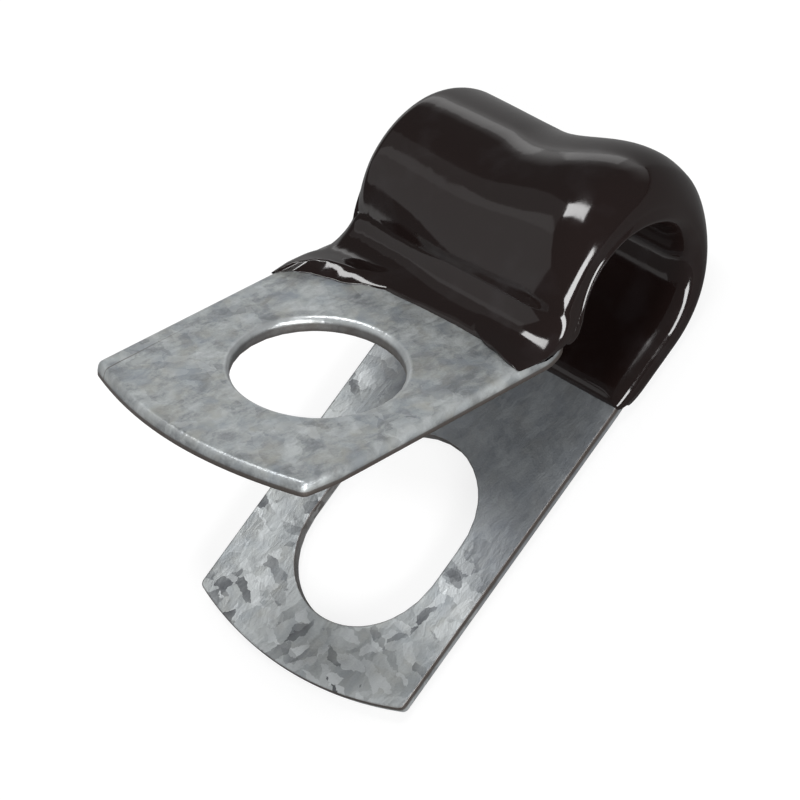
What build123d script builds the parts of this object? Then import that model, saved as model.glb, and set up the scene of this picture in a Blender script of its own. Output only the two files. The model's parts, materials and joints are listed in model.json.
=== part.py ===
from build123d import *
import os
from math import atan2, cos, degrees, radians, sin, sqrt

# Dipped loop clamp, in millimetres. The loop's axis is Y and passes through the origin.
# The lower leg lies flat along -X and its outer face looks down, along -Z.

# Strap
strap_width = 15.9
strap_thickness = 0.9
end_radius = 22.0
corner_radius = 0.4
rim_roll = 0.2

# Loop and legs, each leg measured straight from the bend that it leaves
bore_diameter = 8.4
leg_length = 26.5
flange_length = 18.9
flange_offset = 1.3
bend_radius = 1.0
opening_angle = 36.5
loop_draw_in = 0.5
draw_in_run = 5.0

# Holes, each set back from the end of its leg
hole_diameter = 9.5
hole_setback = 9.5
slot_width = 9.5
slot_length = 12.0
slot_setback = 9.5

# Dipped coating
coat_inside = 0.7
coat_outside = 0.4
coat_side = 0.2
coat_round = 0.7
coat_lip = 0.3
valley_radius = 2.2
coat_on_leg = 4.5
coat_on_flange_near = 1.6
coat_on_flange_middle = 1.2
coat_on_flange_quarter = 2.4
coat_on_flange_far = 4.4

# Drip lobe at the back of the loop
lobe_height = 1.3
lobe_angle = 25.0
lobe_tuck = 0.9
lobe_sink = 0.75
lobe_inset = 3.35
lobe_run = 4.8
lobe_blend = 4.0

# Gap under which two places count as one
tolerance = 0.001

# Sizes that follow
half_strap = strap_thickness / 2
half_width = strap_width / 2
coated_half_width = half_width + coat_side
coated_inside = half_strap + coat_inside
coated_outside = half_strap + coat_outside
fold_radius = bore_diameter / 2 + coated_inside
coated_radius = fold_radius + coated_outside
lobe_round = coated_radius - lobe_tuck
bend_fold_radius = bend_radius + half_strap

# Directions of the upper flange: towards the loop, and out of its upper face
slope = radians(opening_angle)
along_flange = Vector(cos(slope), 0, -sin(slope))
off_flange = Vector(sin(slope), 0, cos(slope))


def reverse_bend(height: float, radius: float) -> Vector:
    """Centre of the arc that joins loop and flange, tangent to both at a height over the fold line."""
    rise = radius + height - flange_offset
    reach = radius + height + fold_radius
    return off_flange * rise - along_flange * sqrt(reach**2 - rise**2)


def loop_end(bend: Vector) -> float:
    """Angle at which the loop passes into a reverse bend."""
    return degrees(atan2(bend.Z, bend.X))


# Reverse bend of the fold line
bend_centre = reverse_bend(0, bend_fold_radius)
bend_run = -bend_centre.dot(along_flange)


def on_flange(past_bend: float, height: float) -> Vector:
    """Point at mid-width, past the reverse bend and at a height over the flange's fold line."""
    return off_flange * (height - flange_offset) - along_flange * (bend_run + past_bend)


def side_view(point: Vector) -> tuple[float, float]:
    """The point's place in the side view that the band is drawn in."""
    return (point.X, point.Z)


def folded_band(outside: float, inside: float, valley: float, on_leg: float, past_bend: float) -> Face:
    """Side view of a band that follows the fold line, with its own radius in the valley."""
    valley_centre = reverse_bend(outside, valley)
    flange_normal = 270 - opening_angle
    arcs = []
    for centre, loop, bend in (
        (valley_centre, fold_radius + outside, valley),
        (bend_centre, fold_radius - inside, bend_fold_radius + inside),
    ):
        end = loop_end(centre)
        arcs.append(CenterArc((0, 0), loop, -90, end + 90))
        arcs.append(CenterArc(side_view(centre), bend, end + 180, flange_normal - end - 180))
    loop_outside, bend_above, loop_inside, bend_below = arcs
    flange_tip = [side_view(on_flange(past_bend, height)) for height in (outside, -inside)]
    leg_tip = [(-on_leg, inside - fold_radius), (-on_leg, -outside - fold_radius)]
    flange = Polyline(bend_above @ 1, *flange_tip, bend_below @ 1)
    leg = Polyline(loop_inside @ 0, *leg_tip, loop_outside @ 0)
    return Plane.XZ * make_face([loop_outside, bend_above, flange, bend_below, loop_inside, leg])


# Frames on the ends of the two legs: x towards the loop, z out of the upper face
leg_frame = Plane((-leg_length, 0, -fold_radius), x_dir=(1, 0, 0), z_dir=(0, 0, 1))
flange_frame = Plane(on_flange(flange_length, 0), x_dir=along_flange, z_dir=off_flange)


def end_waste(frame: Plane) -> Part:
    """What the press cuts off a leg to round its end."""
    waste = Rectangle(2 * half_width, 2 * strap_width) - Pos(end_radius, 0) * Circle(end_radius)
    return extrude(frame * waste, amount=strap_thickness, both=True)


def drawn_in(side: float) -> Part:
    """What the strip loses on its far side as it is rolled, beyond a half width or a coated one."""
    start = (-coated_radius - bend_radius, side)
    end = (start[0] + draw_in_run, side - loop_draw_in)
    ease = Spline(start, end, tangents=((1, 0), (1, 0)))
    reach = 2 * coated_radius
    clear = side + loop_draw_in
    rest = Polyline(end, (reach, end[1]), (reach, clear), (start[0], clear), start)
    return extrude(make_face([ease, rest]), amount=4 * coated_radius, both=True)


def make_strap() -> Part:
    """Folded strip with its rounded ends, round hole and slot."""
    uncut = strap_thickness
    outline = folded_band(half_strap, half_strap, bend_radius, leg_length + uncut, flange_length + uncut)
    strap = extrude(outline, amount=half_width, both=True)
    for frame in (leg_frame, flange_frame):
        strap -= end_waste(frame)
        corners = strap.edges().filter_by(Axis((0, 0, 0), frame.z_dir))
        strap = fillet(corners, corner_radius)
    hole = Pos(hole_setback, 0) * Circle(hole_diameter / 2)
    slot = Pos(slot_setback, 0) * SlotOverall(slot_length, slot_width)
    for frame, opening in ((flange_frame, hole), (leg_frame, slot)):
        strap -= extrude(frame * opening, amount=strap_thickness, both=True)
        upper_face = frame.offset(half_strap)
        rim = [edge for edge in strap.edges() if lies_on_rim(edge, upper_face, opening)]
        strap = fillet(rim, rim_roll)
    return strap - drawn_in(half_width)


def lies_on_rim(edge: Edge, upper_face: Plane, opening: Sketch) -> bool:
    """Whether an edge runs round an opening in the upper face."""
    middle = upper_face.to_local_coords(edge @ 0.5)
    reach = opening.bounding_box()
    beside = abs(middle.X - reach.center().X) < reach.size.X / 2 + tolerance
    within = abs(middle.Y) < reach.size.Y / 2 + tolerance
    return beside and within and abs(middle.Z) < tolerance


def make_lobe() -> Part:
    """Drip that hung from the loop as the plastisol set, turned about an axis beside the loop's."""
    shift = coated_radius + lobe_height - lobe_round
    centre = Vector(shift, 0, 0).rotate(Axis.Y, -lobe_angle)
    crest = lobe_inset - coated_half_width
    base = coated_radius - shift - lobe_sink
    swell = EllipticalCenterArc((crest, base), lobe_run, lobe_round - base, 0, arc_size=180)
    foot = Polyline(swell @ 0, (crest + lobe_run, 0), (crest - lobe_run, 0), swell @ 1)
    frame = Plane(centre, x_dir=(0, 1, 0), z_dir=(1, 0, 0))
    drip = revolve(frame * make_face([swell, foot]), Axis(centre, (0, 1, 0)))
    return drip & Box(4 * coated_radius, 2 * coated_half_width, 4 * coated_radius)


def edges_in(shape: Part, plane: Plane) -> list[Edge]:
    """The shape's edges that lie in the plane."""
    found = []
    for edge in shape.edges():
        heights = [plane.to_local_coords(edge @ place).Z for place in (0, 0.5, 1)]
        if max(abs(height) for height in heights) < tolerance:
            found.append(edge)
    return found


def side_edges(shape: Part) -> list[Edge]:
    """The edges round the shape's two sides, without the seams inside a side."""
    found = []
    for way in (-1, 1):
        sides = [face for face in shape.faces() if way * face.normal_at().Y > 0.9]
        edges = [edge for face in sides for edge in face.edges()]
        found += [edge for edge in edges if edges.count(edge) == 1]
    return found


def beyond_dip() -> Part:
    """What lies past the bowed dip line on the flange."""
    places = (coat_on_flange_near, coat_on_flange_middle, coat_on_flange_quarter, coat_on_flange_far)
    sides = (-coated_half_width, -coated_half_width / 4, coated_half_width / 2, coated_half_width)
    dip = Spline(*[(flange_length - place, side) for place, side in zip(places, sides)])
    back = Polyline(dip @ 1, (0, coated_half_width), (0, -coated_half_width), dip @ 0)
    below = flange_frame.offset(-2 * coated_inside)
    return extrude(below * make_face([dip, back]), amount=4 * coated_inside)


def flange_dip_face(skin: Part) -> Face:
    """The skin's end face on the flange."""
    return skin.faces().sort_by_distance(on_flange(coat_on_flange_middle, 0))[0]


def make_coating(strap: Part) -> Part:
    """Skin round the loop, from the dip line on one leg to the dip line on the other."""
    leg_dip = Plane((-coat_on_leg, 0, 0), z_dir=(1, 0, 0))
    uncut = coat_on_flange_far + strap_thickness
    outline = folded_band(coated_outside, coated_inside, valley_radius, coat_on_leg, uncut)
    skin = extrude(outline, amount=coated_half_width, both=True) - beyond_dip()
    skin += make_lobe()
    skin -= Cylinder(bore_diameter / 2, 4 * coated_half_width, rotation=(90, 0, 0))
    around = side_edges(skin)
    crease = [edge for edge in skin.edges().filter_by(GeomType.BSPLINE) if edge not in around]
    skin = fillet([edge for edge in crease if (edge @ 0.5).X > 0], lobe_blend)
    skin -= drawn_in(coated_half_width)
    dip_edges = flange_dip_face(skin).edges() + edges_in(skin, leg_dip)
    skin = fillet([edge for edge in side_edges(skin) if edge not in dip_edges], coat_round)
    skin = fillet(flange_dip_face(skin).edges() + edges_in(skin, leg_dip), coat_lip)
    return skin - strap


strap = make_strap()
coating = make_coating(strap)

os.makedirs("parts", exist_ok=True)
export_step(strap, "parts/steel_strap.step")
export_step(coating, "parts/vinyl_coating.step")
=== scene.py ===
import json
import logging
import math
from dataclasses import dataclass, field, replace
from enum import Enum
from typing import Callable, Sequence

import bpy
from mathutils import Matrix, Vector, noise


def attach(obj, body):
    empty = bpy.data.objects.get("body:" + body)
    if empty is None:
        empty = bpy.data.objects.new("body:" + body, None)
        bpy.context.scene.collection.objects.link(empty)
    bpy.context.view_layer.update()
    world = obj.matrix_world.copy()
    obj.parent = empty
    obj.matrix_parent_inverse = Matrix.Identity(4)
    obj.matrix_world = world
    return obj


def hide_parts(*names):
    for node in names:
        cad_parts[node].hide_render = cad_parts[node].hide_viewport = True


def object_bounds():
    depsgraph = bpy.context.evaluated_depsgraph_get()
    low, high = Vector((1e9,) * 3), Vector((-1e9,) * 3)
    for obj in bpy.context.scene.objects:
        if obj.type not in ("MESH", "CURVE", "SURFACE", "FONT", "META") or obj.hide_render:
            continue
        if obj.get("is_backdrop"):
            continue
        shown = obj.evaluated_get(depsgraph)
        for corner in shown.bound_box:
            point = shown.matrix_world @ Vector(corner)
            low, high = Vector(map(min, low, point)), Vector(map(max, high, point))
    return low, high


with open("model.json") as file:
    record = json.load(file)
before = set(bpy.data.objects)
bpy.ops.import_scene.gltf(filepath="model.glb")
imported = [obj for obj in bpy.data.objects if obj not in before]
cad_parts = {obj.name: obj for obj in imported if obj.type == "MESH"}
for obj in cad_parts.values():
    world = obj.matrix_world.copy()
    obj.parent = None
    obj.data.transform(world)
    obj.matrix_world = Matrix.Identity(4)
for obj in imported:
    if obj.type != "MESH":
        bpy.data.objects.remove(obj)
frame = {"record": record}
CAD_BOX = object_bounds()

LOG = logging.getLogger("pipe_clamp")
MM = 0.001
Pair = tuple[float, float]
Triple = tuple[float, float, float]
Colour = Triple
Plug = "Signal | float | Sequence[float]"


class Body(Enum):
    """The bodies that pieces ride on."""

    CLAMP = "root"


class Slot(Enum):
    """The record's material slots."""

    ZINC = "galvanised_steel"
    VINYL = "black_vinyl"


def smooth_step(low: float, high: float, value: float) -> float:
    """Eased step.

    Args:
        low: Where the step starts.
        high: Where the step ends.
        value: Where it is read.

    Returns:
        0 before low, 1 after high, and a smooth rise between them.
    """
    part = min(1.0, max(0.0, (value - low) / (high - low)))
    return part * part * (3 - 2 * part)


def bell(distance: float, reach: float) -> float:
    """Smooth hump.

    Args:
        distance: How far from the middle.
        reach: Where the hump ends.

    Returns:
        1 in the middle, falling to 0 at the reach.
    """
    return math.cos(math.pi / 2 * min(1.0, abs(distance) / reach)) ** 2


def between(start: float, end: float, share: float) -> float:
    """Value at a share of the way from start to end."""
    return start + (end - start) * share


def along_points(points: Sequence[Pair], value: float) -> float:
    """Smooth line through a few points.

    Args:
        points: Pairs of place and value, in rising order of place.
        value: The place to read.

    Returns:
        The value there, held flat beyond the first and last points.
    """
    if value <= points[0][0]:
        return points[0][1]
    for (low, start), (high, end) in zip(points, points[1:]):
        if value <= high:
            return between(start, end, smooth_step(low, high, value))
    return points[-1][1]


class Signal:
    """A shader socket that takes part in Python expressions."""

    def __init__(self, board: "Board", socket: bpy.types.NodeSocket) -> None:
        """Keep the board and the socket."""
        self.board = board
        self.socket = socket

    def _math(self, operation: str, first: Plug, second: Plug) -> "Signal":
        """Add one Math node.

        Args:
            operation: The node's operation.
            first: Its first value.
            second: Its second value.

        Returns:
            The node's result.
        """
        return self.board.add("ShaderNodeMath", {"operation": operation}, {0: first, 1: second})

    def __add__(self, other: Plug) -> "Signal":
        """Sum."""
        return self._math("ADD", self, other)

    def __radd__(self, other: Plug) -> "Signal":
        """Sum, the other way round."""
        return self._math("ADD", other, self)

    def __sub__(self, other: Plug) -> "Signal":
        """Difference."""
        return self._math("SUBTRACT", self, other)

    def __rsub__(self, other: Plug) -> "Signal":
        """Difference, the other way round."""
        return self._math("SUBTRACT", other, self)

    def __mul__(self, other: Plug) -> "Signal":
        """Product."""
        return self._math("MULTIPLY", self, other)

    def __rmul__(self, other: Plug) -> "Signal":
        """Product, the other way round."""
        return self._math("MULTIPLY", other, self)


class Board:
    """A node tree that nodes are added to."""

    def __init__(self, tree: bpy.types.NodeTree) -> None:
        """Start from an empty tree."""
        self.tree = tree
        self.tree.nodes.clear()

    def node(self, kind: str, settings: dict, sockets: dict) -> bpy.types.Node:
        """Add any node.

        Args:
            kind: The node's type.
            settings: What is set first; "stops" are a colour ramp's places and values.
            sockets: Values or signals for its inputs, by name or number.

        Returns:
            The node.
        """
        node = self.tree.nodes.new(kind)
        for name, value in settings.items():
            if name == "stops":
                self._set_stops(node.color_ramp, value)
            else:
                setattr(node, name, value)
        for key, value in sockets.items():
            if isinstance(value, Signal):
                self.tree.links.new(value.socket, node.inputs[key])
            else:
                node.inputs[key].default_value = value
        return node

    def add(self, kind: str, settings: dict, sockets: dict, output: str | int = 0) -> Signal:
        """Add a node and take one of its outputs.

        Args:
            kind: The node's type.
            settings: As in node.
            sockets: As in node.
            output: The output's name or number.

        Returns:
            That output.
        """
        return Signal(self, self.node(kind, settings, sockets).outputs[output])

    def _set_stops(self, ramp: bpy.types.ColorRamp, stops: Sequence[Pair]) -> None:
        """Give a ramp its grey stops.

        Args:
            ramp: The colour ramp.
            stops: Places and grey values.
        """
        while len(ramp.elements) < len(stops):
            ramp.elements.new(1.0)
        for element, (place, value) in zip(ramp.elements, stops):
            element.position = place
            element.color = (value, value, value, 1.0)

    def ramp(self, value: Signal, stops: Sequence[Pair]) -> Signal:
        """Grey ramp of a value."""
        return self.add("ShaderNodeValToRGB", {"stops": stops}, {0: value})

    def mix(self, factor: Plug, first: Plug, second: Plug) -> Signal:
        """Mix two colours.

        Args:
            factor: Share of the second colour.
            first: The first colour.
            second: The second colour.

        Returns:
            The mixed colour.
        """
        ends = [c if isinstance(c, Signal) else (*c, 1.0) for c in (first, second)]
        sockets = {0: factor, 6: ends[0], 7: ends[1]}
        return self.add("ShaderNodeMix", {"data_type": "RGBA"}, sockets, 2)

    def vector(self, operation: str, first: Plug, second: Plug) -> Signal:
        """Vector maths on two vectors."""
        return self.add("ShaderNodeVectorMath", {"operation": operation}, {0: first, 1: second})

    def dot(self, first: Plug, second: Plug) -> Signal:
        """Dot product of two vectors."""
        settings = {"operation": "DOT_PRODUCT"}
        return self.add("ShaderNodeVectorMath", settings, {0: first, 1: second}, "Value")

    def scaled(self, vector: Signal, scale: float) -> Signal:
        """A vector times a number."""
        return self.vector("MULTIPLY", vector, (scale, scale, scale))

    def noise(self, vector: Signal, scale: float, detail: float, output: str = "Fac") -> Signal:
        """Noise texture.

        Args:
            vector: Where it is read, in millimetres.
            scale: Features per millimetre.
            detail: Octaves.
            output: Fac or Color.

        Returns:
            The noise.
        """
        sockets = {"Vector": vector, "Scale": scale, "Detail": detail}
        return self.add("ShaderNodeTexNoise", {}, sockets, output)

    def surface(self, sockets: dict) -> None:
        """Close the tree with a Principled shader that has these socket values."""
        shader = self.add("ShaderNodeBsdfPrincipled", {}, sockets)
        self.node("ShaderNodeOutputMaterial", {}, {"Surface": shader})


def new_material(name: str) -> tuple[bpy.types.Material, Board]:
    """Start a material.

    Args:
        name: The material's name.

    Returns:
        The material and its empty board.
    """
    material = bpy.data.materials.new(name)
    material.use_nodes = True
    return material, Board(material.node_tree)


@dataclass(frozen=True)
class GalvanisedZinc:
    """Zinc skin: soft clouds and strokes, broken facets towards the leg's end, painted light on the leg's
    outer part and painted shade on its inner part under the flange, brown where sheared.

    Scales are features to a millimetre; places and reaches are in millimetres.
    """

    pale: Colour = (0.50, 0.527, 0.527)
    dark: Colour = (0.225, 0.24, 0.25)
    warm: Colour = (0.37, 0.365, 0.325)
    cool: Colour = (0.28, 0.315, 0.35)
    facet_pale: Colour = (0.72, 0.75, 0.76)
    facet_dark: Colour = (0.085, 0.09, 0.10)
    # Painted shade colour for the leg's inner part under the flange
    shaded: Colour = (0.25, 0.265, 0.29)
    cut: Colour = (0.10, 0.083, 0.074)
    metallic: float = 0.65
    roughness: float = 0.4
    bump: float = 0.5
    # Share of paler colour on burnished rims, partly a painted highlight
    burnish_and_highlight: float = 0.6
    roughness_swing: float = 0.1
    burnish_polish: float = 0.16
    grit_height: float = 0.03
    stroke_height: float = 0.08
    swirl_scale: float = 0.6
    swirl_reach: float = 1.2
    cloud_scale: float = 0.55
    stroke_scale: float = 1.1
    stroke_stretch: Triple = (0.8, 2.6, 1.6)
    grit_scale: float = 8.0
    tone_shares: Triple = (0.5, 0.34, 0.16)
    warm_scale: float = 0.7
    cool_scale: float = 0.6
    cool_shift: Triple = (31.0, 17.0, 5.0)
    drift_scale: float = 2.2
    drift_reach: float = 0.55
    cluster_scale: float = 0.3
    facet_sets: tuple[tuple[Triple, Triple, Triple], ...] = (
        ((0.0, 4.0, 2.0), (0.7, 1.7, 1.0), (0.0, 0.0, 0.6)),
        ((9.0, 4.0, 2.0), (1.9, 0.75, 1.2), (0.0, 0.0, 0.35)),
    )
    out_way: Triple = (-0.05, 0.03, 0.0)
    out_shift: float = 0.1
    faint_facets: float = 0.22
    # Shares of painted light on the leg's outer part and painted shade on its inner part under the flange
    leg_painted_light: float = 0.25
    leg_shade: float = 0.75
    scratch_across: float = 7.1
    scratch_half: float = 0.045
    scratch_end: float = -14.5
    scratch_wave: float = 0.12
    scratch_wave_scale: float = 0.5

    def _drifted(self, board: Board, place: Signal, scale: float, detail: float, reach: float) -> Signal:
        """Place pushed about by noise.

        Args:
            board: The material's board.
            place: The place, in millimetres.
            scale: Features of the noise to a millimetre.
            detail: Octaves of the noise.
            reach: How far it pushes.

        Returns:
            The pushed place.
        """
        push = board.vector("SUBTRACT", board.noise(place, scale, detail, "Color"), (0.5, 0.5, 0.5))
        return board.vector("ADD", place, board.scaled(push, reach))

    def _height(self, board: Board, place: Signal) -> Signal:
        """Height as a ramp reads it, 0 at 5 mm under the loop's middle and 1 at 5 mm over it."""
        return board.dot(place, (0.0, 0.0, 0.1)) + 0.5

    def _shards(self, board: Board, place: Signal, stretch: Triple, turn: Triple) -> Signal:
        """Broken facets, each with its own random number.

        Args:
            board: The material's board.
            place: Where it is read, in millimetres.
            stretch: How many facets there are to a millimetre, in three directions.
            turn: How the directions lie, as angles.

        Returns:
            The random number of the facet.
        """
        bent = self._drifted(board, place, self.drift_scale, 3.0, self.drift_reach)
        settings = {"rotation_type": "EULER_XYZ"}
        turned = board.add("ShaderNodeVectorRotate", settings, {"Vector": bent, "Rotation": turn})
        sockets = {"Vector": board.vector("MULTIPLY", turned, stretch), "Scale": 1.0}
        cells = board.add("ShaderNodeTexVoronoi", {}, sockets, "Color")
        return board.dot(cells, (1.0, 0.0, 0.0))

    def _facets(self, board: Board, place: Signal, zinc: Signal) -> Signal:
        """Lay the facets over the zinc, with painted light on the leg's outer part and painted shade on its
        inner part under the flange, where the facets fade.

        Args:
            board: The material's board.
            place: Where it is read, in millimetres.
            zinc: The colour under them.

        Returns:
            The colour with the facets.
        """
        leg = board.ramp(self._height(board, place), [(0.15, 1.0), (0.4, 0.0)])
        out = board.ramp(board.dot(place, self.out_way) - self.out_shift, [(0.45, 0.1), (0.72, 1.0)])
        cluster = board.ramp(board.noise(place, self.cluster_scale, 2.0), [(0.4, 0.25), (0.58, 1.0)])
        shown = cluster * (self.faint_facets + leg * (out - self.faint_facets))
        # Painted light: the leg's outer part is mixed towards the pale facet colour
        zinc = board.mix(leg * out * self.leg_painted_light, zinc, self.facet_pale)
        # Painted shade: the leg's inner part under the flange is mixed towards the shaded colour
        zinc = board.mix(leg * (1 - out) * self.leg_shade, zinc, self.shaded)
        for shift, stretch, turn in self.facet_sets:
            shade = self._shards(board, board.vector("ADD", place, shift), stretch, turn)
            bright = board.ramp(shade, [(0.7, 0.0), (0.86, 0.75)])
            dim = board.ramp(shade, [(0.06, 0.85), (0.14, 0.0)])
            zinc = board.mix(bright * shown, zinc, self.facet_pale)
            zinc = board.mix(dim * shown, zinc, self.facet_dark)
        return zinc

    def _scratch(self, board: Board, place: Signal) -> Signal:
        """Thin scratch beside the flange's far edge.

        Args:
            board: The material's board.
            place: Where it is read, in millimetres.

        Returns:
            1 in the scratch and 0 beside it.
        """
        wave = board.noise(place, self.scratch_wave_scale, 1.0) * self.scratch_wave - self.scratch_wave / 2
        aside = board.dot(place, (0.0, 1.0, 0.0)) + wave - self.scratch_across
        size = {"operation": "ABSOLUTE"}
        beside = board.add("ShaderNodeMath", size, {0: aside * (0.5 / self.scratch_half)})
        line = board.ramp(beside, [(0.3, 1.0), (0.6, 0.0)])
        reach = board.dot(place, (-0.1, 0.0, 0.0)) + self.scratch_end * 0.1
        high = board.ramp(self._height(board, place), [(0.4, 0.0), (0.6, 0.7)])
        return line * high * board.ramp(reach, [(0.0, 0.0), (0.5, 1.0)])

    def material(self) -> bpy.types.Material:
        """Make the material.

        Returns:
            The zinc material, which reads where the strip is sheared and where it is burnished and carries a
            painted highlight.
        """
        material, board = new_material("galvanised_zinc")
        place = board.scaled(board.add("ShaderNodeTexCoord", {}, {}, "Object"), 1 / MM)
        bent = self._drifted(board, place, self.swirl_scale, 2.0, self.swirl_reach)
        cloud = board.noise(bent, self.cloud_scale, 8.0)
        strokes = board.noise(board.vector("MULTIPLY", bent, self.stroke_stretch), self.stroke_scale, 6.0)
        grit = board.noise(place, self.grit_scale, 3.0)
        shares = self.tone_shares
        blend = cloud * shares[0] + strokes * shares[1] + grit * shares[2]
        tone = board.ramp(blend, [(0.4, 0.0), (0.6, 1.0)])
        zinc = board.mix(tone, self.dark, self.pale)
        warmth = board.ramp(board.noise(bent, self.warm_scale, 4.0), [(0.48, 0.0), (0.7, 0.6)])
        zinc = board.mix(warmth, zinc, self.warm)
        shifted = board.vector("ADD", bent, self.cool_shift)
        chill = board.ramp(board.noise(shifted, self.cool_scale, 4.0), [(0.48, 0.0), (0.7, 0.7)])
        zinc = board.mix(chill, zinc, self.cool)
        zinc = self._facets(board, place, zinc)
        zinc = board.mix(self._scratch(board, place), zinc, self.cut)
        cut = board.add("ShaderNodeAttribute", {"attribute_name": "cut"}, {}, "Fac")
        shine = board.add("ShaderNodeAttribute", {"attribute_name": "shine"}, {}, "Fac")
        # Burnished rims are mixed towards the pale facet colour, partly a painted highlight
        zinc = board.mix(shine * self.burnish_and_highlight, zinc, self.facet_pale)
        height = grit * self.grit_height + strokes * self.stroke_height
        uneven = tone * self.roughness_swing + grit * self.roughness_swing
        bump = board.add("ShaderNodeBump", {}, {"Strength": self.bump, "Distance": MM, "Height": height})
        sockets = {
            "Base Color": board.mix(cut, zinc, self.cut),
            "Roughness": self.roughness + uneven - shine * self.burnish_polish,
            "Metallic": self.metallic,
            "Normal": bump,
        }
        board.surface(sockets)
        return material


@dataclass(frozen=True)
class DippedVinyl:
    """Glossy black plastisol with a little unevenness and fine scuffs.

    Scales are features to a millimetre; heights are in millimetres.
    """

    colour: Colour = (0.0095, 0.0055, 0.005)
    scuffed: Colour = (0.013, 0.009, 0.009)
    roughness: float = 0.08
    scuff_roughness: float = 0.16
    ior: float = 1.5
    bump: float = 0.35
    scuff_scale: float = 0.4
    grit_scale: float = 9.0
    wave_scale: float = 0.8
    wave_height: float = 0.02
    scuff_height: float = 0.006

    def material(self) -> bpy.types.Material:
        """Make the material.

        Returns:
            The vinyl material.
        """
        material, board = new_material("dipped_vinyl")
        place = board.scaled(board.add("ShaderNodeTexCoord", {}, {}, "Object"), 1 / MM)
        scuff = board.ramp(board.noise(place, self.scuff_scale, 3.0), [(0.52, 0.0), (0.68, 1.0)])
        grain = scuff * board.noise(place, self.grit_scale, 4.0)
        height = board.noise(place, self.wave_scale, 2.0) * self.wave_height + grain * self.scuff_height
        bump = board.add("ShaderNodeBump", {}, {"Strength": self.bump, "Distance": MM, "Height": height})
        sockets = {
            "Base Color": board.mix(scuff, self.colour, self.scuffed),
            "Roughness": self.roughness + grain * self.scuff_roughness,
            "IOR": self.ior,
            "Normal": bump,
        }
        board.surface(sockets)
        return material


@dataclass(frozen=True)
class PaleFloor:
    """White studio floor that keeps a soft shadow; its glow grows over a reach in millimetres."""

    colour: Colour = (0.21, 0.21, 0.21)
    glow: float = 0.82
    back_glow: float = 0.7
    back_reach: float = 100.0

    def material(self) -> bpy.types.Material:
        """Make the material.

        Returns:
            A matt white that glows to the camera and through glass, and behind the clamp to reflections.
        """
        material, board = new_material("pale_floor")
        rays = board.node("ShaderNodeLightPath", {}, {}).outputs
        camera, glossy = Signal(board, rays["Is Camera Ray"]), Signal(board, rays["Is Glossy Ray"])
        through = Signal(board, rays["Is Transmission Ray"])
        place = board.add("ShaderNodeTexCoord", {}, {}, "Object")
        behind = board.dot(place, (0.0, 1 / (self.back_reach * MM), 0.0))
        back = board.ramp(behind, [(0.0, 0.0), (1.0, self.back_glow)])
        sockets = {
            "Base Color": (*self.colour, 1.0),
            "Roughness": 1.0,
            "Specular IOR Level": 0.0,
            "Emission Color": (camera + through) * self.glow + glossy * back,
            "Emission Strength": 1.0,
        }
        board.surface(sockets)
        return material


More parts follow.
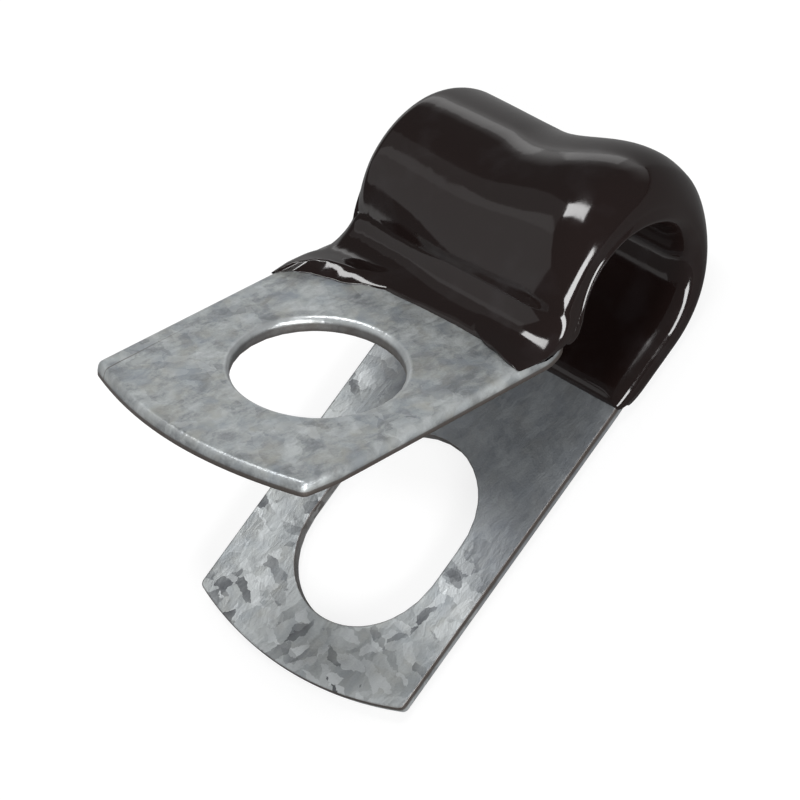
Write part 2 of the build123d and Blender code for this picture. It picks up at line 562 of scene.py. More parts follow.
@dataclass(frozen=True)
class FoldLine:
    """Middle line of the folded strip, in millimetres along the strip from the flange's end."""

    # Sizes of the fold
    loop_radius: float = 5.35
    bend_radius: float = 1.45
    flange_length: float = 19.05
    leg_length: float = 26.55
    flange_offset: float = 1.3
    opening_angle: float = 36.5
    half_width: float = 7.95

    # How the strip departs from a straight one: spread flange, tapered end, loop set aside and drawn in
    flange_spread: float = 1.018
    taper: float = 0.8
    taper_run: float = 4.2
    sideways: float = -0.17
    aside_run: float = 3.0
    draw_in: float = 0.33
    draw_places: Pair = (-7.2, -2.2)

    # How the near side narrows under the skin, from the reverse bend to the leg
    near_draw_in: float = 1.0
    near_draw_bend: Pair = (20.0, 21.6)
    near_draw_leg: Pair = (1.5, 4.2)

    @property
    def along(self) -> Vector:
        """Direction of the flange towards the loop, in the side view."""
        slope = math.radians(self.opening_angle)
        return Vector((math.cos(slope), -math.sin(slope)))

    @property
    def off(self) -> Vector:
        """Direction out of the flange's upper face, in the side view."""
        return Vector((-self.along.y, self.along.x))

    @property
    def bend_run(self) -> float:
        """How far back from the loop's centre the flange's straight stretch begins."""
        rise = self.bend_radius - self.flange_offset
        return math.sqrt((self.loop_radius + self.bend_radius) ** 2 - rise**2)

    @property
    def bend_centre(self) -> Vector:
        """Centre of the reverse bend."""
        return self.off * (self.bend_radius - self.flange_offset) - self.along * self.bend_run

    @property
    def bend_turn(self) -> float:
        """Angle of the reverse bend."""
        return (-self.off).angle(-self.bend_centre)

    @property
    def loop_start(self) -> float:
        """Angle on the loop where the reverse bend ends."""
        return math.atan2(self.bend_centre.y, self.bend_centre.x)

    @property
    def loop_begins(self) -> float:
        """Where the loop begins along the strip."""
        return self.flange_length + self.bend_radius * self.bend_turn

    @property
    def leg_begins(self) -> float:
        """Where the leg begins along the strip."""
        return self.loop_begins + self.loop_radius * (self.loop_start + math.pi / 2)

    @property
    def length(self) -> float:
        """Length of the flat strip."""
        return self.leg_begins + self.leg_length

    def loop_angle(self, along: float) -> float:
        """Angle on the loop, in degrees above +X, of a place along the strip."""
        return math.degrees(self.loop_start - (along - self.loop_begins) / self.loop_radius)

    def lifted(self, height: float, bend_radius: float) -> "FoldLine":
        """Line of a skin over or under this line.

        Args:
            height: How far off it lies, positive outside the loop.
            bend_radius: Its own radius in the reverse bend.

        Returns:
            The skin's line.
        """
        line = replace(
            self,
            loop_radius=self.loop_radius + height,
            bend_radius=bend_radius,
            flange_offset=self.flange_offset - height,
        )
        return replace(line, flange_length=self.flange_length + self.bend_run - line.bend_run)

    def matched(self, line: "FoldLine", along: float) -> float:
        """Where a skin's line passes over a place on this line.

        Args:
            line: The skin's line.
            along: The place on this line.

        Returns:
            The place on the skin's line.
        """
        lead = max(0.0, self.flange_length - line.flange_length)
        if along <= self.flange_length - lead:
            return along
        if along < self.flange_length:
            angle = math.asin((along - line.flange_length) / line.bend_radius)
            return line.flange_length + line.bend_radius * angle
        if along < self.loop_begins:
            first = math.asin(lead / line.bend_radius)
            share = (along - self.flange_length) / (self.loop_begins - self.flange_length)
            angle = between(first, line.bend_turn, share)
            return line.flange_length + line.bend_radius * angle
        if along < self.leg_begins:
            share = (along - self.loop_begins) / (self.leg_begins - self.loop_begins)
            return between(line.loop_begins, line.leg_begins, share)
        return line.leg_begins + along - self.leg_begins

    def place(self, along: float, across: float, through: float) -> Vector:
        """Fold one point of the flat strip.

        Args:
            along: Place along the strip.
            across: Place across it.
            through: Height over its middle, positive on the outside of the loop.

        Returns:
            The point in the row's frame, in metres.
        """
        if along < self.flange_length:
            reach = self.bend_run + self.flange_length - along
            side = self.off * (through - self.flange_offset) - self.along * reach
        elif along < self.loop_begins:
            turn = Matrix.Rotation((along - self.flange_length) / self.bend_radius, 2)
            side = self.bend_centre - (turn @ self.off) * (self.bend_radius - through)
        elif along < self.leg_begins:
            angle = self.loop_start - (along - self.loop_begins) / self.loop_radius
            side = Vector((math.cos(angle), math.sin(angle))) * (self.loop_radius + through)
        else:
            side = Vector((self.leg_begins - along, -self.loop_radius - through))
        share = 0.5 + across / (2 * self.half_width)
        past = smooth_step(self.flange_length - self.aside_run, self.loop_begins + self.aside_run, along)
        across *= between(self.flange_spread, 1.0, past)
        across += self.sideways * past
        across += self.taper * max(0.0, 1 - along / self.taper_run) ** 2 * (1 - share)
        across -= self.draw_in * smooth_step(*self.draw_places, side.x) * share
        hidden = smooth_step(*self.near_draw_bend, along)
        hidden -= smooth_step(*self.near_draw_leg, along - self.leg_begins)
        across += self.near_draw_in * hidden * (1 - share)
        return Vector((side.x, across, side.y)) * MM


@dataclass(frozen=True)
class Rim:
    """A point of an outline on the flat strip, with its direction out of the metal."""

    along: float
    across: float
    out_along: float
    out_across: float


@dataclass(frozen=True)
class Opening:
    """Round hole or slot in the flat strip."""

    centre: float
    across: float
    radius: float
    half_straight: float = 0.0

    def rim(self, along: float, across: float) -> Rim:
        """Edge of the opening in the direction of a point.

        Args:
            along: The point's place along the strip.
            across: Its place across the strip.

        Returns:
            The rim point on the line from the opening's middle to that point.
        """
        way = Vector((along - self.centre, across - self.across)).normalized()
        if abs(way.y) * self.half_straight > abs(way.x) * self.radius:
            reach = self.radius / abs(way.y)
            edge = way * reach
            return Rim(self.centre + edge.x, self.across + edge.y, 0.0, -math.copysign(1.0, way.y))
        end = Vector((math.copysign(self.half_straight, way.x), 0.0))
        lean = way.dot(end)
        reach = lean + math.sqrt(lean**2 - self.half_straight**2 + self.radius**2)
        edge = way * reach
        out = (end - edge) / self.radius
        return Rim(self.centre + edge.x, self.across + edge.y, out.x, out.y)


@dataclass(frozen=True)
class EdgeStep:
    """A step down the edge of the sheet.

    The inset is in millimetres and the height a share of half the sheet; cut is 1 where the edge is sheared,
    and shine is 1 where the press burnished it, which is also painted paler there as a highlight.
    """

    inset: float
    height: float
    cut: float = 0.0
    shine: float = 0.0


@dataclass
class FlatPattern:
    """Points and faces of the strip before it is folded."""

    half: float
    points: list[Triple] = field(default_factory=list)
    cuts: list[float] = field(default_factory=list)
    shine: list[float] = field(default_factory=list)
    faces: list[tuple[int, ...]] = field(default_factory=list)
    edge_steps: tuple[EdgeStep, ...] = (
        EdgeStep(0.36, 1.0),
        EdgeStep(0.29, 0.985, shine=0.1),
        EdgeStep(0.21, 0.92, shine=0.3),
        EdgeStep(0.14, 0.80, shine=0.4),
        EdgeStep(0.08, 0.60, shine=0.4),
        EdgeStep(0.04, 0.36, shine=0.3),
        EdgeStep(0.015, 0.08, shine=0.2),
        EdgeStep(0.0, -0.2, cut=0.2),
        EdgeStep(0.0, -0.38, cut=0.9),
        EdgeStep(0.0, -0.86, cut=1.0),
        EdgeStep(0.02, -0.97, cut=0.8),
        EdgeStep(0.06, -1.0, cut=0.2),
        EdgeStep(0.12, -1.0),
    )
    opening_steps: tuple[EdgeStep, ...] = (
        EdgeStep(0.36, 1.0),
        EdgeStep(0.29, 0.985, shine=0.3),
        EdgeStep(0.21, 0.92, shine=0.9),
        EdgeStep(0.14, 0.80, shine=1.0),
        EdgeStep(0.08, 0.62, shine=1.0),
        EdgeStep(0.03, 0.42, cut=0.1, shine=0.7),
        EdgeStep(0.0, 0.25, cut=0.4, shine=0.2),
        EdgeStep(0.0, 0.05, cut=0.7),
        EdgeStep(0.0, -0.4, cut=0.7),
        EdgeStep(0.0, -0.86, cut=0.85),
        EdgeStep(0.02, -0.97, cut=0.8),
        EdgeStep(0.06, -1.0, cut=0.2),
        EdgeStep(0.12, -1.0),
    )

    def point(self, place: Triple, cut: float = 0.0, shine: float = 0.0) -> int:
        """Add a point.

        Args:
            place: Place along and across the strip, and height over its middle.
            cut: 1 on a sheared edge, 0 on a face.
            shine: 1 where the press burnished the metal, which is also painted paler there as a highlight.

        Returns:
            The point's number.
        """
        self.points.append(place)
        self.cuts.append(cut)
        self.shine.append(shine)
        return len(self.points) - 1

    def ladder(self, rim: Rim, opening: bool = False) -> list[int]:
        """Points down the sheared edge at a rim point, from the outer face to the inner face.

        Args:
            rim: The rim point.
            opening: Whether it lies on a hole or slot, which has a taller sheared wall.

        Returns:
            The points' numbers.
        """
        rungs = []
        for step in self.opening_steps if opening else self.edge_steps:
            along = rim.along - rim.out_along * step.inset
            across = rim.across - rim.out_across * step.inset
            rungs.append(self.point((along, across, step.height * self.half), step.cut, step.shine))
        return rungs

    def strip(self, first: Sequence[int], second: Sequence[int], closed: bool = False) -> None:
        """Faces between two rows of points.

        Args:
            first: One row.
            second: The other row, as long.
            closed: Whether the rows run round.
        """
        count = len(first)
        for here in range(count if closed else count - 1):
            there = (here + 1) % count
            self.faces.append((first[here], first[there], second[there], second[here]))

    def ladders(self, ladders: Sequence[Sequence[int]], closed: bool = False) -> None:
        """Faces of a sheared edge.

        Args:
            ladders: The ladders along it, in order.
            closed: Whether they run round an opening.
        """
        for first, second in zip(ladders, ladders[1:]):
            self.strip(first, second)
        if closed:
            self.strip(ladders[-1], ladders[0])

    def plate(self, border: Sequence[tuple[int, int]], opening: Opening, rings: int = 3) -> None:
        """Both faces of a flat stretch round an opening.

        Args:
            border: Numbers of the border's points on the outer and inner face, in order round it.
            opening: The hole or slot.
            rings: Rows of faces between border and opening.
        """
        edge = [self.ladder(opening.rim(*self.points[outer][:2]), opening=True) for outer, _ in border]
        self.ladders(edge, closed=True)
        for side in (0, -1):
            last = [pair[side] for pair in border]
            target = [rungs[side] for rungs in edge]
            ends = [(Vector(self.points[a]), Vector(self.points[b])) for a, b in zip(last, target)]
            for ring in range(1, rings):
                row = [self.point(tuple(start.lerp(end, ring / rings))) for start, end in ends]
                self.strip(last, row, closed=True)
                last = row
            self.strip(last, target, closed=True)


@dataclass
class Strap:
    """The galvanised strip, cut flat and then folded."""

    fold: FoldLine
    finish: GalvanisedZinc
    hole_radius: float
    thickness: float = 0.9
    end_radius: float = 22.0
    corner_radius: float = 0.4
    hole_setback: float = 9.65
    hole_across: float = -0.36
    hole_shrink: float = 0.08
    slot_setback: float = 9.5
    slot_across: float = -0.15
    slot_half_straight: float = 1.25
    plate_length: float = 16.4

    # Fineness of the mesh
    columns: int = 14
    corner_steps: int = 4
    end_steps: int = 16
    side_steps: int = 8
    run_steps: tuple[int, ...] = (4, 12, 60, 8)

    def _end(self, from_end: Callable[[float], float], facing: float) -> list[Rim]:
        """Outline of a rounded end, from its -Y corner to its +Y corner.

        Args:
            from_end: Turns a distance from the end into a place along the strip.
            facing: -1 at the flange's end, 1 at the leg's end.

        Returns:
            The outline's rim points, without the straight sides.
        """
        inner = self.fold.half_width - self.corner_radius
        sweep = math.asin(inner / (self.end_radius - self.corner_radius))
        centre = self.end_radius - math.cos(sweep) * (self.end_radius - self.corner_radius)
        corner = []
        for step in range(1, self.corner_steps + 1):
            turn = between(sweep, math.pi / 2, step / self.corner_steps)
            deep = centre - self.corner_radius * math.cos(turn)
            corner.append((deep, inner + self.corner_radius * math.sin(turn), turn))
        bow = []
        for step in range(-self.end_steps, self.end_steps + 1):
            turn = sweep * step / self.end_steps
            bow.append((self.end_radius * (1 - math.cos(turn)), self.end_radius * math.sin(turn), turn))
        mirrored = [(deep, -wide, -turn) for deep, wide, turn in reversed(corner)]
        return [
            Rim(from_end(deep), wide, facing * math.cos(turn), math.sin(turn))
            for deep, wide, turn in mirrored + bow + corner
        ]

    def _stations(self) -> list[float]:
        """Places along the strip between its two plates, closer together where it bends.

        Returns:
            The places, from the flange's plate to the leg's plate.
        """
        fold = self.fold
        last = fold.length - self.plate_length
        stops = (self.plate_length, fold.flange_length, fold.loop_begins, fold.leg_begins, last)
        places = [self.plate_length]
        for start, end, count in zip(stops, stops[1:], self.run_steps):
            places += [between(start, end, step / count) for step in range(1, count + 1)]
        return places

    def _side(self, flat: FlatPattern, way: float, runs: Sequence[Sequence[float]]) -> list[list[list[int]]]:
        """Ladders along one straight side.

        Args:
            flat: The pattern.
            way: -1 on the near side, 1 on the far side.
            runs: Places along the flange's plate, the band between the plates and the leg's plate.

        Returns:
            The ladders of each run.
        """
        across = way * self.fold.half_width
        return [[flat.ladder(Rim(along, across, 0.0, way)) for along in run] for run in runs]

    def _band(
        self, flat: FlatPattern, side: int, minus: Sequence[list[int]], plus: Sequence[list[int]]
    ) -> list[list[int]]:
        """One face of the band between the plates.

        Args:
            flat: The pattern.
            side: 0 for the outer face, -1 for the inner face.
            minus: Ladders along the near side.
            plus: Ladders along the far side.

        Returns:
            The rows of point numbers, from the flange's plate to the leg's plate.
        """
        rows = []
        for near, far in zip(minus, plus):
            along, low, height = flat.points[near[side]]
            high = flat.points[far[side]][1]
            steps = [between(low, high, step / self.columns) for step in range(1, self.columns)]
            rows.append([near[side], *[flat.point((along, across, height)) for across in steps], far[side]])
        for first, second in zip(rows, rows[1:]):
            flat.strip(first, second)
        return rows

    def _pattern(self) -> FlatPattern:
        """Lay out the flat strip.

        Returns:
            The pattern, with its edges, holes and faces.
        """
        flat = FlatPattern(self.thickness / 2)
        length = self.fold.length
        ends = [self._end(lambda deep: deep, -1.0), self._end(lambda deep: length - deep, 1.0)]
        tips = [[flat.ladder(rim) for rim in end] for end in ends]
        places = self._stations()
        shares = [step / self.side_steps for step in range(1, self.side_steps)]
        flange = [between(ends[0][0].along, places[0], share) for share in shares]
        leg = [between(places[-1], ends[1][0].along, share) for share in shares]
        minus, plus = (self._side(flat, way, (flange, places, leg)) for way in (-1.0, 1.0))
        for rows, corner in ((minus, 0), (plus, -1)):
            flat.ladders([tips[0][corner], *rows[0], *rows[1], *rows[2], tips[1][corner]])
        for tip in tips:
            flat.ladders(tip)
        outer, inner = (self._band(flat, side, minus[1], plus[1]) for side in (0, -1))
        hole = Opening(self.hole_setback, self.hole_across, self.hole_radius - self.hole_shrink)
        slot_centre = length - self.slot_setback
        slot = Opening(slot_centre, self.slot_across, self.hole_radius, self.slot_half_straight)
        flange_border = [*minus[0][::-1], *tips[0], *plus[0]]
        leg_border = [*minus[2], *tips[1], *plus[2][::-1]]
        for opening, border, row in ((hole, flange_border, 0), (slot, leg_border, -1)):
            join = list(zip(outer[row], inner[row]))
            flat.plate([(rungs[0], rungs[-1]) for rungs in border] + join[::-1], opening)
        return flat

    def build(self) -> bpy.types.Object:
        """Fold the flat strip into the clamp's strap.

        Returns:
            The strap.
        """
        flat = self._pattern()
        mesh = bpy.data.meshes.new("folded_strap")
        mesh.from_pydata([self.fold.place(*point) for point in flat.points], [], flat.faces)
        for name, values in (("cut", flat.cuts), ("shine", flat.shine)):
            attribute = mesh.attributes.new(name, "FLOAT", "POINT")
            attribute.data.foreach_set("value", values)
        return dress(mesh, self.finish.material(), "steel_strap")


@dataclass(frozen=True)
class RingPoint:
    """A place round the skin's cross-section.

    The two shares run from -1 to 1 across and through the strip; the two turns are the direction
    of the rounding there, across and through.
    """

    across: float
    through: float
    turn_across: float
    turn_through: float


@dataclass
class Coating:
    """The plastisol skin on the loop, between its two dip lines.

    Sizes are in millimetres and angles in degrees round the loop, above +X. A pair of sizes runs
    across and through the strip; a pair of places or angles is where a change starts and ends.
    """

    fold: FoldLine
    finish: DippedVinyl

    # Thickness on the strip
    half_strap: float = 0.45
    outside: float = 0.4
    inside: float = 0.7
    near_side: float = 0.25
    low_near_side: float = 0.36
    low_side_angles: Pair = (0.0, -60.0)
    far_side: float = 0.08
    valley_radius: float = 2.2
    strap_round: float = 0.12

    # Rounded outer corners, which grow as the skin wraps round the loop
    nose: Pair = (2.5, 1.45)
    low_nose: Pair = (1.5, 0.9)
    low_nose_angles: Pair = (85.0, 30.0)
    far_nose: Pair = (0.85, 0.95)
    brow: float = 0.5
    far_brow: float = 0.85
    wrap_run: Pair = (0.5, 4.5)

    # Rounded inner corners and the ridge on the bore's near rim
    inner_round: Pair = (0.4, 0.4)
    low_round: Pair = (1.6, 1.0)
    low_round_angles: Pair = (60.0, -40.0)
    rim_ridge: float = 0.14
    ridge_angles: Pair = (-5.0, 35.0)

    # Drip lobe
    lobe_height: float = 1.36
    lobe_angle: float = 18.0
    lobe_spread: float = 130.0
    lobe_fall: float = 74.0
    lobe_middle: float = -5.0
    lobe_reach: float = 6.5
    lobe_near_reach: float = 5.3

    # Swell of the crown, bead on the flange and thinner skin in the far valley
    crown_swell: float = 0.45
    crown_angle: float = 95.0
    crown_spread: float = 70.0
    crown_across: Pair = (-5.0, 8.0)
    far_bead: float = 0.28
    bead_across: Pair = (0.5, 3.5)
    bead_along: Pair = (16.5, 19.0)
    bead_fade: float = 0.6
    bead_fade_across: Pair = (5.5, 7.9)
    valley_trim: float = 0.48
    valley_middle: float = 20.2
    valley_reach: float = 4.0
    trim_across: Pair = (0.0, 7.0)

    # Dip lines: place along the strip at places across it, or through it on its two edges
    flange_dip: tuple[Pair, ...] = (
        (-7.9, 17.0),
        (-5.7, 17.4),
        (-4.6, 17.75),
        (-1.3, 17.75),
        (2.4, 17.5),
        (3.2, 17.2),
        (4.9, 16.2),
        (6.3, 15.8),
        (7.2, 15.3),
        (7.9, 14.3),
    )
    near_edge_dip: tuple[Pair, ...] = ((-1.0, 20.6), (-0.1, 20.4), (1.0, 18.3))
    far_edge_dip: tuple[Pair, ...] = ((-1.0, 18.4), (1.0, 14.3))
    leg_dip_inside: float = 4.85
    leg_dip_outside: float = 4.2
    ripple: float = 0.05
    ripple_scale: float = 0.55
    ripple_layer: float = 3.0

    # Lips, round at most places and straight slopes on the flange's far side
    lip_length: float = 1.3
    far_lip_length: float = 0.95
    wedge_across: Pair = (1.2, 4.2)
    slope_bow: float = 0.15
    thinnest: float = 0.03
    wander: float = 0.02
    wander_scale: float = 0.28
    wander_layers: float = 2.0

    # Fineness of the mesh
    flat_steps: tuple[int, ...] = (44, 12, 36, 8)
    round_steps: tuple[int, ...] = (12, 16, 5, 5)
    lip_steps: int = 14
    lip_crowding: float = 1.8
    run_steps: int = 170

    def __post_init__(self) -> None:
        """Lay the lines of the skin's outside and inside."""
        full = replace(self.fold, near_draw_in=0.0)
        self.outer = full.lifted(self.half_strap + self.outside, self.valley_radius)
        drop = self.half_strap + self.inside
        self.inner = full.lifted(-drop, self.fold.bend_radius + drop)

    def _ring(self) -> list[RingPoint]:
        """Places round the cross-section, from the far outer corner over the outside.

        Returns:
            The places, in order.
        """
        corners = ((1, 1), (-1, 1), (-1, -1), (1, -1))
        quarter = math.pi / 2
        ring = []
        for number, (across, through) in enumerate(corners):
            rounds, flats = self.round_steps[number], self.flat_steps[number]
            for step in range(rounds + 1):
                turn = quarter * (number + step / rounds)
                ring.append(RingPoint(across, through, math.cos(turn), math.sin(turn)))
            out = round(math.cos(turn)), round(math.sin(turn))
            after = corners[(number + 1) % len(corners)]
            for step in range(1, flats):
                here = across + (after[0] - across) * step / flats
                there = through + (after[1] - through) * step / flats
                ring.append(RingPoint(here, there, *out))
        return ring

    def _dips(self, ring: RingPoint) -> Pair:
        """Where the skin begins and ends along the strip.

        Args:
            ring: The place round the cross-section.

        Returns:
            The places of the flange's and the leg's dip lines.
        """
        across = ring.across * self.fold.half_width
        depth = (1 - ring.through) / 2
        if ring.through >= 1:
            first = along_points(self.flange_dip, across)
            if ring.across <= -1:
                first += (self.near_edge_dip[-1][1] - first) * (1 - ring.turn_through) ** 2
        elif ring.across <= -1:
            first = along_points(self.near_edge_dip, ring.through)
        elif ring.across >= 1:
            first = along_points(self.far_edge_dip, ring.through)
        else:
            first = between(self.near_edge_dip[0][1], self.far_edge_dip[0][1], (1 + ring.across) / 2)
        reach = between(self.leg_dip_outside, self.leg_dip_inside, depth)
        spot = Vector((across * self.ripple_scale, ring.through, self.ripple_layer))
        ripple = self.ripple * noise.noise(spot)
        return first + ripple, self.fold.leg_begins + reach + ripple

    def _nose(self, along: float, side: float, lip: float) -> Pair:
        """Size of the rounded outer corner.

        Args:
            along: Place along the strip.
            side: -1 on the near side, 1 on the far side.
            lip: Thickness share.

        Returns:
            The rounding's reach across and through the strip.
        """
        if side < 0:
            low = smooth_step(*self.low_nose_angles, self.fold.loop_angle(along))
            wide, deep = (between(high, deep, low) for high, deep in zip(self.nose, self.low_nose))
            brow, start = self.brow, self.flange_dip[0][1]
        else:
            wide, deep = self.far_nose
            brow, start = self.far_brow, self.flange_dip[-1][1]
        deep = between(brow, deep, smooth_step(*self.wrap_run, along - start))
        return between(self.strap_round, wide, lip), between(self.strap_round, deep, lip)

    def _inner_corner(self, along: float, lip: float) -> Pair:
        """Size of the rounded inner corners, as reach across and through the strip."""
        low = smooth_step(*self.low_round_angles, self.fold.loop_angle(along))
        wide, deep = (between(high, deep, low) for high, deep in zip(self.inner_round, self.low_round))
        return between(self.strap_round, wide, lip), between(self.strap_round, deep, lip)

    def _swell(self, along: float, across: float) -> float:
        """What the outside has over its plain thickness.

        Args:
            along: Place along the strip.
            across: Place across it.

        Returns:
            Height of the lobe, the crown and the bead, less the trim in the valley.
        """
        angle = self.fold.loop_angle(along)
        reach = self.lobe_reach if across > self.lobe_middle else self.lobe_near_reach
        spread = self.lobe_spread if angle > self.lobe_angle else self.lobe_fall
        lobe = self.lobe_height * bell(across - self.lobe_middle, reach)
        crown = self.crown_swell * smooth_step(*self.crown_across, across)
        bead = self.far_bead * smooth_step(*self.bead_across, across)
        bead *= 1 - self.bead_fade * smooth_step(*self.bead_fade_across, across)
        trim = self.valley_trim * smooth_step(*self.trim_across, across)
        height = lobe * bell(angle - self.lobe_angle, spread)
        height += crown * bell(angle - self.crown_angle, self.crown_spread)
        height += bead * (1 - smooth_step(*self.bead_along, along))
        return height - trim * bell(along - self.valley_middle, self.valley_reach)

    def _corner(self, along: float, ring: RingPoint, lip: float) -> Vector:
        """Point of the skin on a face or round a corner.

        Args:
            along: Place along the strip.
            ring: The place round the cross-section, on the outside or the inside.
            lip: Thickness share, 0 on the metal and 1 on the full skin.

        Returns:
            The folded point, in metres.
        """
        angle = self.fold.loop_angle(along)
        side = between(self.near_side, self.low_near_side, smooth_step(*self.low_side_angles, angle))
        near = -self.fold.half_width - side * lip
        far = self.fold.half_width + self.far_side * lip
        if ring.through > 0:
            near_round, near_deep = self._nose(along, -1.0, lip)
            far_round, far_deep = self._nose(along, 1.0, lip)
            deep = near_deep if ring.across < 0 else far_deep
        else:
            near_round, deep = self._inner_corner(along, lip)
            far_round = near_round
            near -= self.rim_ridge * smooth_step(*self.ridge_angles, angle) * lip
        across = between(near + near_round, far - far_round, (1 + ring.across) / 2)
        across += ring.turn_across * (near_round if ring.across < 0 else far_round)
        layer = ring.through * self.wander_layers
        spot = Vector((along * self.wander_scale, across * self.wander_scale, layer))
        wander = self.wander * noise.noise(spot) * lip
        if ring.through > 0:
            height = (ring.turn_through - 1) * deep - self.outside * (1 - lip)
            height += (self._swell(along, across) * lip + wander) * ring.turn_through
            return self.outer.place(self.fold.matched(self.outer, along), across, height)
        height = (ring.turn_through + 1) * deep + self.inside * (1 - lip) + wander * ring.turn_through
        return self.inner.place(self.fold.matched(self.inner, along), across, height)

    def _skin(self, along: float, ring: RingPoint, lip: float) -> Vector:
        """Point of the skin anywhere round its cross-section.

        Args:
            along: Place along the strip.
            ring: The place round the cross-section.
            lip: Thickness share.

        Returns:
            The folded point, in metres.
        """
        if abs(ring.through) >= 1:
            return self._corner(along, ring, lip)
        low = self._corner(along, replace(ring, through=-1), lip)
        high = self._corner(along, replace(ring, through=1), lip)
        return low.lerp(high, (1 + ring.through) / 2)

    def _sleeve(self, along: float, ring: RingPoint) -> Vector:
        """Point of the skin's inner face, on the metal.

        Args:
            along: Place along the strip.
            ring: The place round the cross-section.

        Returns:
            The folded point, in metres.
        """
        flat_half, flat_deep = self.fold.half_width - self.strap_round, self.half_strap - self.strap_round
        across = ring.across * flat_half + ring.turn_across * self.strap_round
        through = ring.through * flat_deep + ring.turn_through * self.strap_round
        return self.fold.place(along, across, through)

    def _rows(self, ring: RingPoint) -> list[Pair]:
        """Places along one line of the skin.

        Args:
            ring: The line's place round the cross-section.

        Returns:
            Pairs of place and thickness share, closer together at the lips.
        """
        first, last = self._dips(ring)
        wedge = 0.0
        if ring.through >= 1:
            wedge = smooth_step(*self.wedge_across, ring.across * self.fold.half_width)
        lip = between(self.lip_length, self.far_lip_length, wedge)
        parts = [(step / self.lip_steps) ** self.lip_crowding for step in range(self.lip_steps)]
        rises = [math.sqrt(1 - (1 - part) ** 2) for part in parts]
        slopes = [part * (1 + self.slope_bow * (1 - part)) for part in parts]
        start, end = first + lip, last - self.lip_length
        rows = []
        for part, rise, slope in zip(parts, rises, slopes):
            rows.append((first + lip * part, between(rise, slope, wedge)))
        for step in range(self.run_steps + 1):
            rows.append((between(start, end, step / self.run_steps), 1.0))
        for part, rise in zip(reversed(parts), reversed(rises)):
            rows.append((last - self.lip_length * part, rise))
        return rows

    def build(self) -> bpy.types.Object:
        """Make the skin's closed mesh, outside and against the strap.

        Returns:
            The coating.
        """
        rings = self._ring()
        points, faces = [], []
        for ring in rings:
            rows = self._rows(ring)
            points += [self._skin(along, ring, max(lip, self.thinnest)) for along, lip in rows]
            points += [self._sleeve(along, ring) for along, _ in reversed(rows)]
        size = len(points) // len(rings)
        for number in range(len(rings)):
            here, there = number * size, (number + 1) % len(rings) * size
            for row in range(size):
                after = (row + 1) % size
                faces.append((here + row, there + row, there + after, here + after))
        mesh = bpy.data.meshes.new("dipped_coating")
        mesh.from_pydata(points, [], faces)
        return dress(mesh, self.finish.material(), "vinyl_coating")


def dress(mesh: bpy.types.Mesh, material: bpy.types.Material, node: str) -> bpy.types.Object:
    """Turn a mesh into a piece that stands for a CAD node.

    Args:
        mesh: The piece's mesh, in the row's frame.
        material: Its finish.
        node: The CAD node that it stands for.

    Returns:
        The piece.
    """
    mesh.materials.append(material)
    piece = bpy.data.objects.new(mesh.name, mesh)
    bpy.context.scene.collection.objects.link(piece)
    bpy.context.view_layer.objects.active = piece
    piece.select_set(True)
    bpy.ops.object.mode_set(mode="EDIT")
    bpy.ops.mesh.select_all(action="SELECT")
    bpy.ops.mesh.normals_make_consistent(inside=False)
    bpy.ops.object.mode_set(mode="OBJECT")
    piece.select_set(False)
    mesh.polygons.foreach_set("use_smooth", [True] * len(mesh.polygons))
    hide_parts(node)
    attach(piece, Body.CLAMP.value)
    return piece


@dataclass(frozen=True)
class Softbox:
    """Rectangular lamp aimed at the clamp, in millimetres and watts."""

    name: str
    place: Triple
    size: Pair
    power: float

    def build(self, aim: Vector) -> None:
        """Hang the lamp.

        Args:
            aim: Where it points, in metres.
        """
        lamp = bpy.data.lights.new(self.name, "AREA")
        lamp.shape = "RECTANGLE"
        lamp.size, lamp.size_y = (edge * MM for edge in self.size)
        lamp.energy = self.power
        hung = bpy.data.objects.new(self.name, lamp)
        hung.location = Vector(self.place) * MM
        hung.rotation_euler = (aim - hung.location).to_track_quat("-Z", "Y").to_euler()
        bpy.context.scene.collection.objects.link(hung)


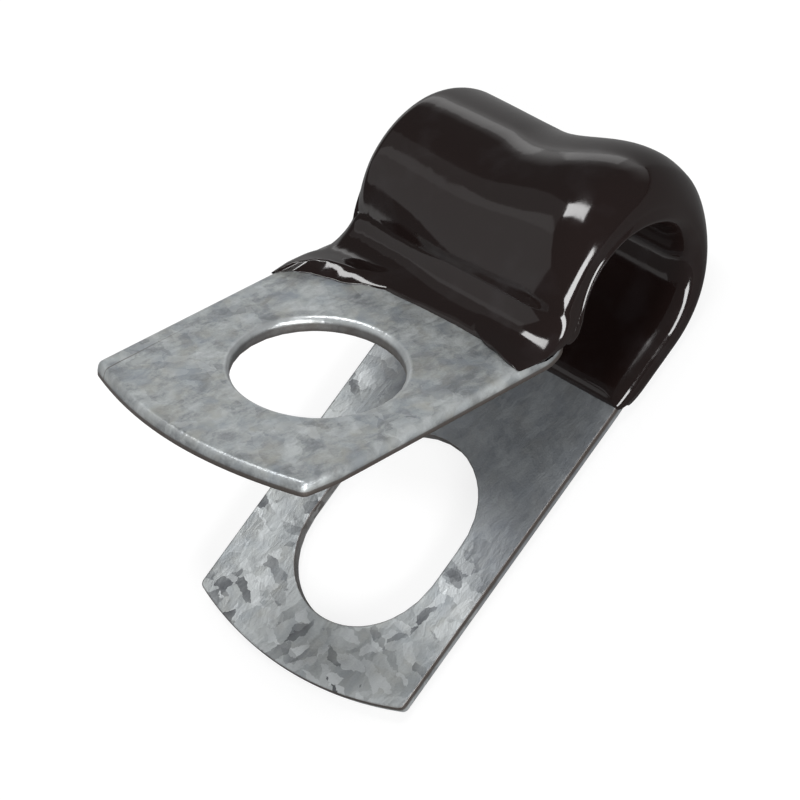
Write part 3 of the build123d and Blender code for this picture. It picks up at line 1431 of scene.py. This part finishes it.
@dataclass
class Studio:
    """Floor, lamps, surroundings and camera, in millimetres."""

    floor: PaleFloor
    floor_size: float = 4000.0
    aim: Triple = (-8.0, 0.0, 2.0)

    # Camera
    eye: Triple = (-49.36, -148.72, 205.49)
    look: Triple = (0.1483, 0.5810, -0.8003)
    up: Triple = (0.8012, 0.4038, 0.4416)
    focal_pixels: float = 4700.0
    frame_pixels: float = 800.0
    sensor: float = 36.0
    nearest: float = 10.0

    # Surroundings: how bright, which way the pale part lies and where it fades
    sky_dim: float = 0.14
    sky_back: float = 0.9
    sky_way: Triple = (0.81, 0.58, 0.0)
    sky_sides: Pair = (0.45, 0.9)
    sky_heights: Pair = (0.08, 0.34)
    lamps: tuple[Softbox, ...] = (
        Softbox("key_softbox", (120.0, 30.0, 411.0), (330.0, 92.0), 1.22),
        Softbox("front_softbox", (-125.0, -372.0, 160.0), (400.0, 110.0), 2.2),
        Softbox("top_card", (30.0, 372.0, 468.0), (260.0, 260.0), 0.042),
        Softbox("left_card", (-270.0, 350.0, 408.0), (480.0, 480.0), 0.33),
        Softbox("back_card", (340.0, 244.0, 40.0), (200.0, 110.0), 0.05),
    )

    def lay_floor(self) -> None:
        """Lay the floor under the clamp."""
        low = min(CAD_BOX[0][2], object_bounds()[0][2])
        edge = self.floor_size * MM / 2
        mesh = bpy.data.meshes.new("studio_floor")
        corners = [(-edge, -edge, low), (edge, -edge, low), (edge, edge, low), (-edge, edge, low)]
        mesh.from_pydata(corners, [], [(0, 1, 2, 3)])
        mesh.materials.append(self.floor.material())
        floor = bpy.data.objects.new("studio_floor", mesh)
        bpy.context.scene.collection.objects.link(floor)
        floor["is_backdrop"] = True

    def light(self) -> None:
        """Hang the lamps and set the surroundings, pale behind the clamp and dim elsewhere."""
        for lamp in self.lamps:
            lamp.build(Vector(self.aim) * MM)
        world = bpy.data.worlds.new("studio")
        world.use_nodes = True
        bpy.context.scene.world = world
        board = Board(world.node_tree)
        way = board.add("ShaderNodeTexCoord", {}, {}, "Generated")
        low = board.ramp(board.dot(way, (0.0, 0.0, 1.0)), list(zip(self.sky_heights, (1.0, 0.0))))
        behind = board.ramp(board.dot(way, self.sky_way), list(zip(self.sky_sides, (0.0, self.sky_back))))
        glow = low * behind + self.sky_dim
        sky = board.add("ShaderNodeBackground", {}, {"Color": glow, "Strength": 1.0})
        board.node("ShaderNodeOutputWorld", {}, {"Surface": sky})

    def place_camera(self) -> None:
        """Stand the camera where the photograph was taken from."""
        lens = bpy.data.cameras.new("camera")
        lens.sensor_width = self.sensor
        lens.lens = self.sensor * self.focal_pixels / self.frame_pixels
        lens.clip_start = self.nearest * MM
        look = Vector(self.look).normalized()
        right = look.cross(Vector(self.up)).normalized()
        up = right.cross(look)
        turn = Matrix((right, up, -look)).transposed().to_4x4()
        camera = bpy.data.objects.new("camera", lens)
        camera.matrix_world = Matrix.Translation(Vector(self.eye) * MM) @ turn
        bpy.context.scene.collection.objects.link(camera)
        bpy.context.scene.camera = camera
        bpy.context.scene.view_settings.view_transform = "Standard"


def mount_radius(name: str) -> float:
    """Radius of one of the record's mounts, in millimetres."""
    return next(m["dims"]["r_mm"] for m in frame["record"]["mounts"] if m["name"] == name)


def main() -> None:
    """Build the clamp and its studio."""
    logging.basicConfig(level=logging.INFO, format="%(name)s: %(message)s")
    fold = FoldLine()
    strap = Strap(fold, GalvanisedZinc(), mount_radius("flange_hole")).build()
    LOG.info("%s has %d faces", strap.name, len(strap.data.polygons))
    coating = Coating(fold, DippedVinyl()).build()
    LOG.info("%s has %d faces", coating.name, len(coating.data.polygons))
    studio = Studio(PaleFloor())
    studio.lay_floor()
    studio.light()
    studio.place_camera()
    LOG.info("studio is set")


if __name__ == "__main__":
    main()
